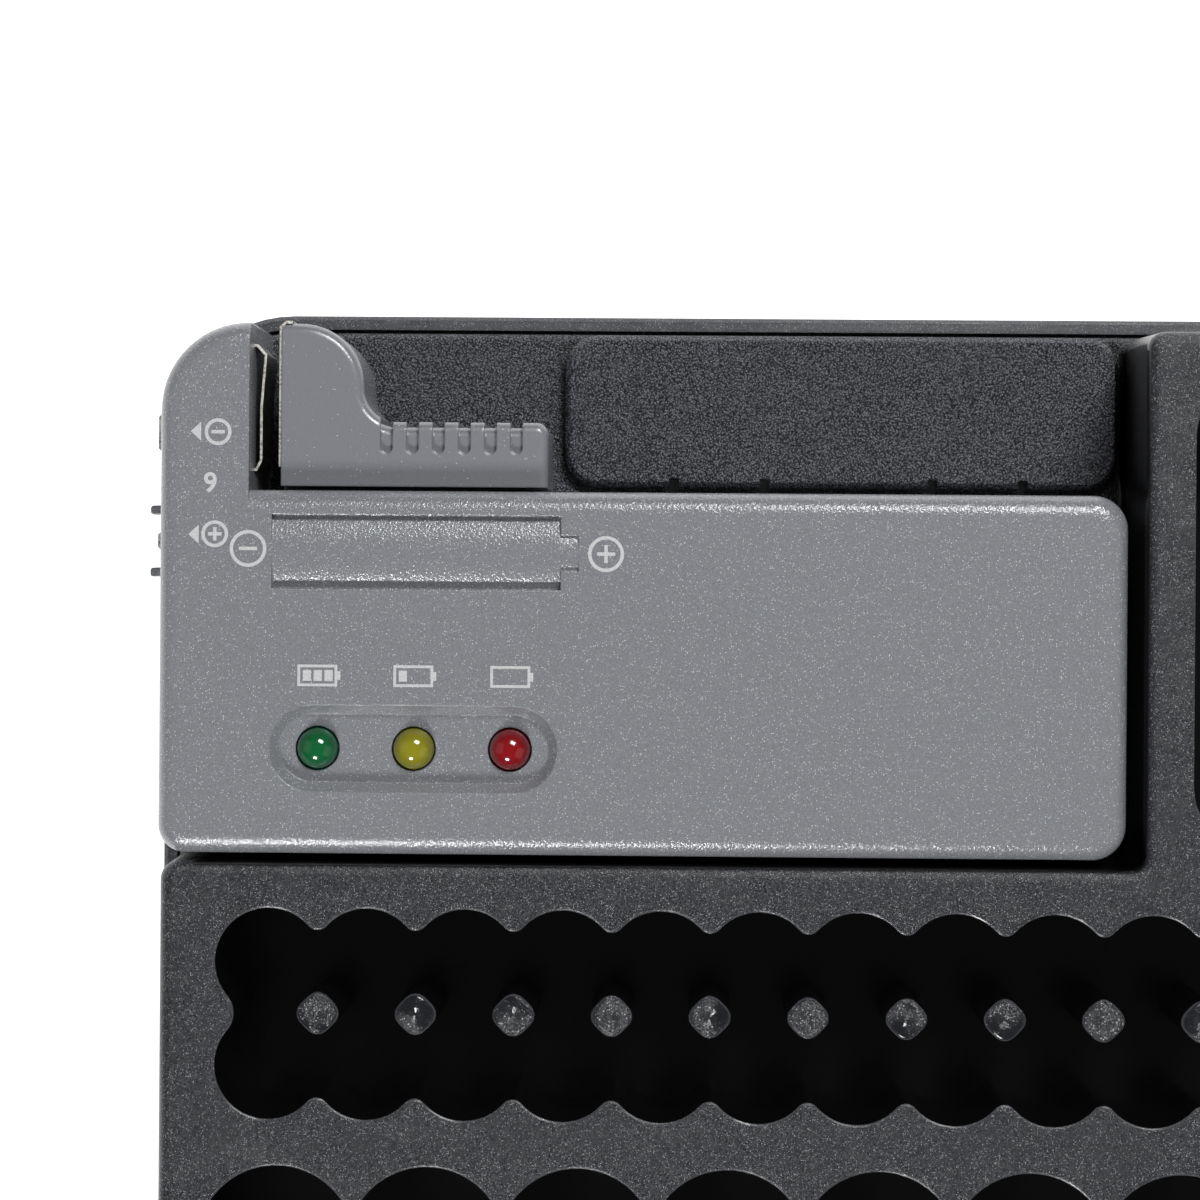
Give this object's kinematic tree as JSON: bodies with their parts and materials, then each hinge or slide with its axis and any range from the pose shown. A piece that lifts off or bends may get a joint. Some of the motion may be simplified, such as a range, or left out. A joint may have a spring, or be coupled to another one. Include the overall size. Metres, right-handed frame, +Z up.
{
  "type": "battery storage tray with tester",
  "caption": "Flat tray whose wells hold household batteries standing on end, with a lift-out battery tester that has a spring-loaded sliding jaw and three lamps.",
  "frame": {"origin": "middle of the tray's base, on the table", "axes": "+Z up, +X along the battery rows to the right, +Y to the back edge where the tester's battery bay opens"},
  "size_m": [0.1898, 0.221, 0.0294],
  "materials": {
    "tray_plastic": "textured deck, glossy wells",
    "tester_plastic": "fine satin with mica flecks",
    "jaw_plastic": "satin",
    "shoe_plastic": "natural acetal",
    "screw_steel": "zinc plated",
    "plated_strip": "nickel plated",
    "wiper_brass": "spring brass",
    "spring_steel": "drawn wire",
    "board_laminate": "phenolic laminate",
    "chip_resin": "moulded epoxy",
    "load_resistor_cement": "lacquer",
    "resistor_lacquer": "lacquer",
    "wire_insulation": "PVC",
    "green_resin": "tinted epoxy",
    "yellow_resin": "tinted epoxy",
    "red_resin": "tinted epoxy"
  },
  "bodies": {
    "tray": {"tray": "tray_plastic"},
    "tester": {"tester_upper_shell": "tester_plastic", "tester_lower_shell": "tester_plastic", "case_screws": "screw_steel", "minus_leaf_contact": "plated_strip", "nine_volt_minus_contact": "plated_strip", "nine_volt_plus_contact": "plated_strip", "contact_rail": "plated_strip", "circuit_board": "board_laminate", "board_screws": "screw_steel", "green_lamp": "green_resin", "yellow_lamp": "yellow_resin", "red_lamp": "red_resin", "comparator_chip": "chip_resin", "load_resistor": "load_resistor_cement", "small_resistors": "resistor_lacquer", "inner_wires": "wire_insulation", "return_spring": "spring_steel"},
    "jaw": {"sliding_jaw": "jaw_plastic", "jaw_shoe": "shoe_plastic", "shoe_screws": "screw_steel", "plus_jaw_contact": "plated_strip", "rail_wiper": "wiper_brass"}
  },
  "joints": [
    {"name": "tester_lift", "type": "slide", "parent": "tray", "child": "tester", "axis": [0, 0, 1], "range_m": [0, 0.045]},
    {"name": "jaw_slide", "type": "slide", "parent": "tester", "child": "jaw", "axis": [1, 0, 0], "range_m": [0, 0.062], "stiffness_N_per_m": 60, "springref_m": -0.02, "deforming": ["return_spring"]}
  ]
}
